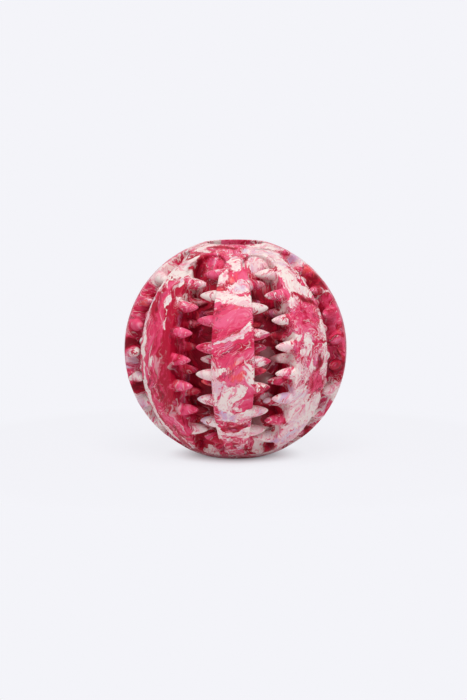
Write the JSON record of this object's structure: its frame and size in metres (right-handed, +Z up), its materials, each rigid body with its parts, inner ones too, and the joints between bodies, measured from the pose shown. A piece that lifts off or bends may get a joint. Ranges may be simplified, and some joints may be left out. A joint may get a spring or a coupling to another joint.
{
  "type": "toothed rubber dog ball",
  "caption": "Hollow scented rubber ball with meridional ribs, grooves lined with interlocking rubber teeth, and a round treat mouth at each pole.",
  "frame": {"origin": "centre of the flat land round the lower mouth, on the surface that the ball stands on", "axes": "+Z up along the polar axis through both mouths; the middle of rib_1 faces -Y; ribs are numbered anticlockwise seen from above"},
  "size_m": [0.07, 0.07, 0.0672],
  "materials": {
    "rib_rubber": "matte moulded natural rubber, raspberry marbled with cream, lilac and coral",
    "groove_rubber": "matte moulded natural rubber, the same marbling, mostly deep raspberry",
    "collar_rubber": "matte moulded natural rubber, the same marbling, finer swirls"
  },
  "bodies": {
    "root": {"top_collar": "collar_rubber", "bottom_collar": "collar_rubber", "rib_1": "rib_rubber", "rib_2": "rib_rubber", "rib_3": "rib_rubber", "rib_4": "rib_rubber", "rib_5": "rib_rubber", "rib_6": "rib_rubber", "rib_7": "rib_rubber", "rib_8": "rib_rubber", "groove_floor_1": "groove_rubber", "groove_floor_2": "groove_rubber", "groove_floor_3": "groove_rubber", "groove_floor_4": "groove_rubber", "groove_floor_5": "groove_rubber", "groove_floor_6": "groove_rubber", "groove_floor_7": "groove_rubber", "groove_floor_8": "groove_rubber"}
  },
  "joints": []
}
